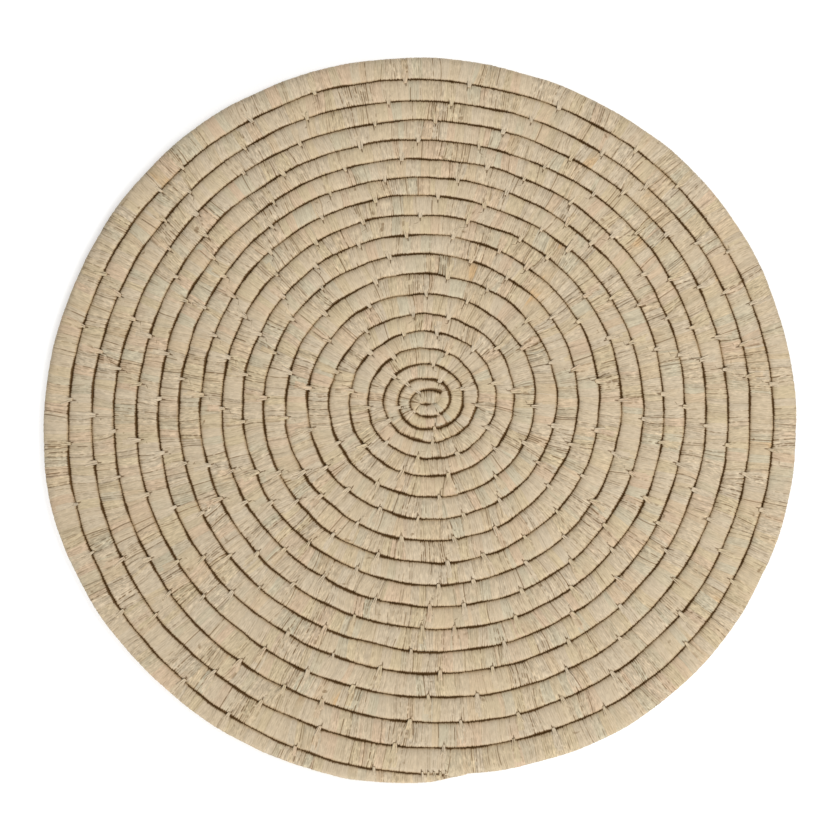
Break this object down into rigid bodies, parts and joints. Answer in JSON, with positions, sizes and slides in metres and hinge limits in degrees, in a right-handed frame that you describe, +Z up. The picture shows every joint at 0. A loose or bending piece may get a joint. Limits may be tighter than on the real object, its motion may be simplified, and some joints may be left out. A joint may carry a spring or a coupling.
{
  "type": "raffia placemat",
  "caption": "Round table mat of coiled raffia: a wrapped fibre coil wound in a flat spiral and sewn to itself, for a plate to stand on.",
  "frame": {"origin": "on the surface the mat lies on, under the middle of its outline's box", "axes": "+Z up out of the upper face, +X to the mat's right and +Y to its back as seen from above, with the coil's tail at the front"},
  "size_m": [0.3798, 0.3664, 0.007],
  "materials": {
    "raffia": "natural dried raffia, matt to slightly satin, in beige, straw, greenish grey and pinkish tan strands"
  },
  "bodies": {
    "root": {"coiled_mat": "raffia"}
  },
  "joints": []
}
